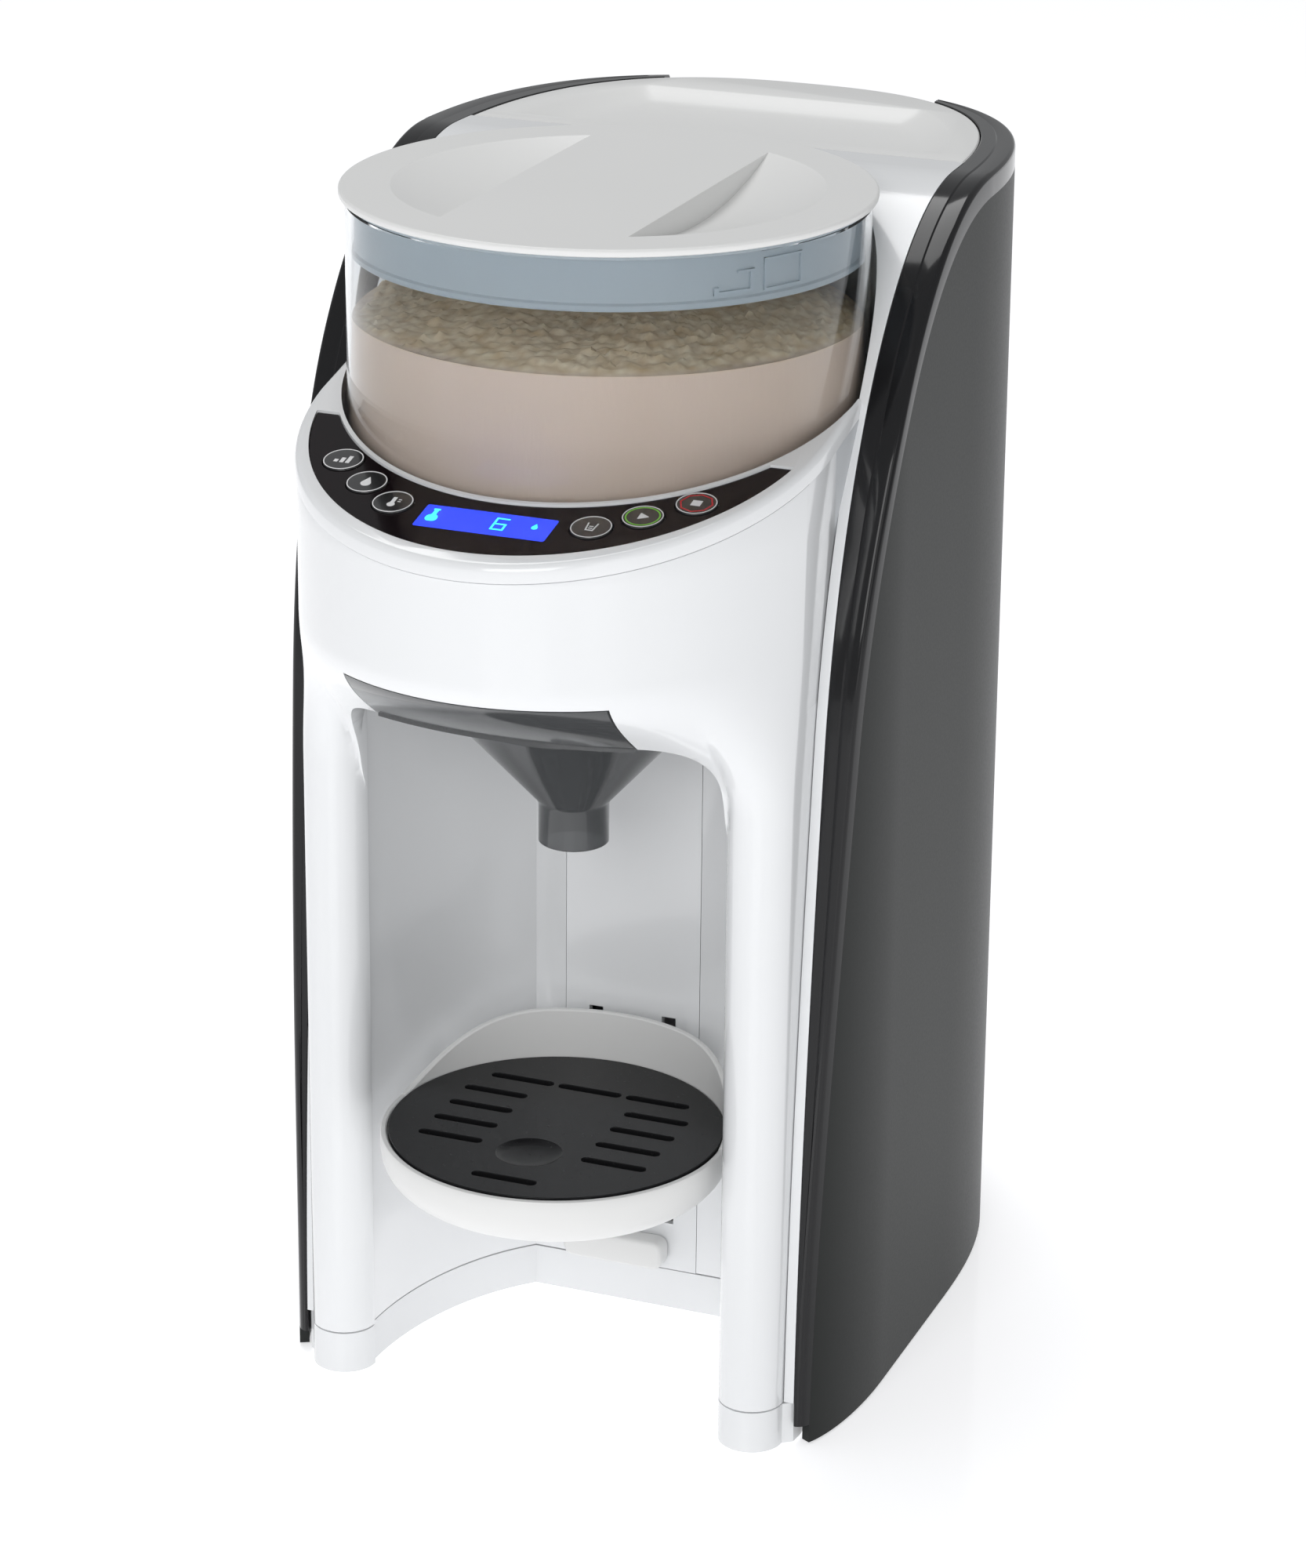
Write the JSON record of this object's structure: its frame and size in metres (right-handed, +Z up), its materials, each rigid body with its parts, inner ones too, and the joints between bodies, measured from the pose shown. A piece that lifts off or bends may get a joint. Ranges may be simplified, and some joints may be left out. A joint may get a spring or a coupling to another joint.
{
  "type": "formula dispenser",
  "caption": "Tall countertop machine that mixes milk powder and warm water into a bottle, with a clear powder container, water tank, funnel and drip tray.",
  "frame": {"origin": "middle of the footprint's bounding box, on the surface the feet stand on", "axes": "+Z up, +X to the right seen from the front, +Y towards the rear; the control panel faces -Y"},
  "size_m": [0.182, 0.292, 0.3652],
  "materials": {
    "gloss_white": "gloss moulded ABS",
    "satin_white": "satin moulded ABS",
    "side_grey": "satin dark grey",
    "gloss_black": "high gloss black",
    "light_plastic": "fine matt",
    "grey_plastic": "fine matt",
    "black_plastic": "satin",
    "rubber": "matt",
    "steel": "brushed",
    "brass": "machined",
    "cast_aluminium": "cast",
    "silicone": "milky",
    "circuit_board": "solder mask",
    "display_blue": "backlit blue display",
    "clear_plastic": "clear, faintly smoked",
    "frosted_plastic": "translucent blue grey",
    "smoked_plastic": "dark smoked",
    "gear_plastic": "moulded acetal",
    "powder": "milk powder, smooth against the wall and crumbly on top"
  },
  "bodies": {
    "base": {"front_housing": "gloss_white", "main_housing": "gloss_white", "base_band": "gloss_white", "bottom_cover": "grey_plastic", "rubber_feet": "rubber", "housing_screws": "steel", "side_panel_left": "side_grey", "side_panel_right": "side_grey", "edge_trim_left": "gloss_black", "edge_trim_right": "gloss_black", "rear_cover": "side_grey", "rear_frame": "light_plastic", "container_seat": "light_plastic", "powder_chute": "light_plastic", "panel_frame": "gloss_white", "control_lens": "gloss_black", "display_module": "display_blue", "button_board": "circuit_board", "gear_plate": "steel", "gear_pins": "steel", "drive_motor": "steel", "water_nozzle": "steel", "tray_track": "gloss_white", "valve_seal": "silicone", "water_pump": "grey_plastic", "water_heater": "cast_aluminium", "suction_hose": "silicone", "pressure_hose": "silicone", "nozzle_hose": "silicone", "power_board": "circuit_board", "main_board": "circuit_board", "power_inlet": "black_plastic", "inlet_pins": "brass", "switch_housing": "black_plastic"},
    "container": {"powder_container": "clear_plastic", "formula_powder": "powder"},
    "lid_ring": {"lid_collar": "frosted_plastic"},
    "lid": {"container_lid": "satin_white"},
    "mixer": {"dosing_wheel": "light_plastic", "stirrer": "light_plastic"},
    "drive": {"drive_gear": "gear_plastic"},
    "idler": {"idler_gear": "gear_plastic"},
    "pinion": {"motor_pinion": "brass", "motor_shaft": "steel"},
    "funnel_drawer": {"funnel": "smoked_plastic"},
    "carriage": {"tray_carriage": "satin_white"},
    "tray": {"drip_tray": "satin_white"},
    "grid": {"drip_grid": "black_plastic"},
    "lever": {"release_lever": "satin_white"},
    "tank": {"water_tank": "smoked_plastic", "tank_valve": "light_plastic", "lid_hinge_pin": "steel"},
    "tank_cover": {"tank_lid": "satin_white"},
    "rocker": {"power_rocker": "black_plastic"},
    "strength_button_cap": {"strength_button": "gloss_black"},
    "water_button_cap": {"water_button": "gloss_black"},
    "warmth_button_cap": {"warmth_button": "gloss_black"},
    "amount_button_cap": {"amount_button": "gloss_black"},
    "start_button_cap": {"start_button": "gloss_black"},
    "stop_button_cap": {"stop_button": "gloss_black"}
  },
  "joints": [
    {"name": "container_lift", "type": "slide", "parent": "base", "child": "container", "axis": [0, 0, 1], "range_m": [0, 0.108]},
    {"name": "lid_lift", "type": "slide", "parent": "container", "child": "lid_ring", "axis": [0, 0, 1], "range_m": [0, 0.03]},
    {"name": "lid_twist", "type": "hinge", "parent": "lid_ring", "child": "lid", "pos_m": [0, -0.03475, 0.364], "axis": [0, 0, 1], "range_deg": [0, 25]},
    {"name": "mixer_spin", "type": "hinge", "parent": "container", "child": "mixer", "pos_m": [0, -0.03475, 0.265], "axis": [0, 0, 1], "continuous": true},
    {"name": "drive_gear_spin", "type": "hinge", "parent": "base", "child": "drive", "pos_m": [0, -0.03475, 0.247], "axis": [0, 0, 1], "continuous": true},
    {"name": "idler_gear_spin", "type": "hinge", "parent": "base", "child": "idler", "pos_m": [0, -0.00365, 0.247], "axis": [0, 0, 1], "continuous": true},
    {"name": "pinion_spin", "type": "hinge", "parent": "base", "child": "pinion", "pos_m": [0, 0.01945, 0.247], "axis": [0, 0, 1], "continuous": true},
    {"name": "funnel_slide", "type": "slide", "parent": "base", "child": "funnel_drawer", "axis": [0, -1, 0], "range_m": [0, 0.125]},
    {"name": "tray_height", "type": "slide", "parent": "base", "child": "carriage", "axis": [0, 0, 1], "range_m": [-0.03, 0.012]},
    {"name": "tray_lift", "type": "slide", "parent": "carriage", "child": "tray", "axis": [0, 0, 1], "range_m": [0, 0.03]},
    {"name": "grid_lift", "type": "slide", "parent": "tray", "child": "grid", "axis": [0, 0, 1], "range_m": [0, 0.02]},
    {"name": "lever_slide", "type": "slide", "parent": "base", "child": "lever", "axis": [1, 0, 0], "range_m": [0, 0.006], "stiffness_N_per_m": 300},
    {"name": "tank_lift", "type": "slide", "parent": "base", "child": "tank", "axis": [0, 0, 1], "range_m": [0, 0.25]},
    {"name": "tank_lid_hinge", "type": "hinge", "parent": "tank", "child": "tank_cover", "pos_m": [0, 0.1316, 0.356], "axis": [-1, 0, 0], "range_deg": [0, 85]},
    {"name": "power_rocker_tilt", "type": "hinge", "parent": "base", "child": "rocker", "pos_m": [-0.024, 0.137, 0.032], "axis": [1, 0, 0], "range_deg": [0, 10]},
    {"name": "strength_button_press", "type": "slide", "parent": "base", "child": "strength_button_cap", "axis": [0, 0.2265, -0.974], "range_m": [0, 0.0006], "stiffness_N_per_m": 2500},
    {"name": "water_button_press", "type": "slide", "parent": "base", "child": "water_button_cap", "axis": [0, 0.2265, -0.974], "range_m": [0, 0.0006], "stiffness_N_per_m": 2500},
    {"name": "warmth_button_press", "type": "slide", "parent": "base", "child": "warmth_button_cap", "axis": [0, 0.2265, -0.974], "range_m": [0, 0.0006], "stiffness_N_per_m": 2500},
    {"name": "amount_button_press", "type": "slide", "parent": "base", "child": "amount_button_cap", "axis": [0, 0.2265, -0.974], "range_m": [0, 0.0006], "stiffness_N_per_m": 2500},
    {"name": "start_button_press", "type": "slide", "parent": "base", "child": "start_button_cap", "axis": [0, 0.2265, -0.974], "range_m": [0, 0.0006], "stiffness_N_per_m": 2500},
    {"name": "stop_button_press", "type": "slide", "parent": "base", "child": "stop_button_cap", "axis": [0, 0.2265, -0.974], "range_m": [0, 0.0006], "stiffness_N_per_m": 2500}
  ],
  "couplings": [
    {"joint": "drive_gear_spin", "follows": "mixer_spin", "ratio": 1},
    {"joint": "idler_gear_spin", "follows": "mixer_spin", "ratio": -0.82353},
    {"joint": "pinion_spin", "follows": "mixer_spin", "ratio": 2.3333}
  ]
}
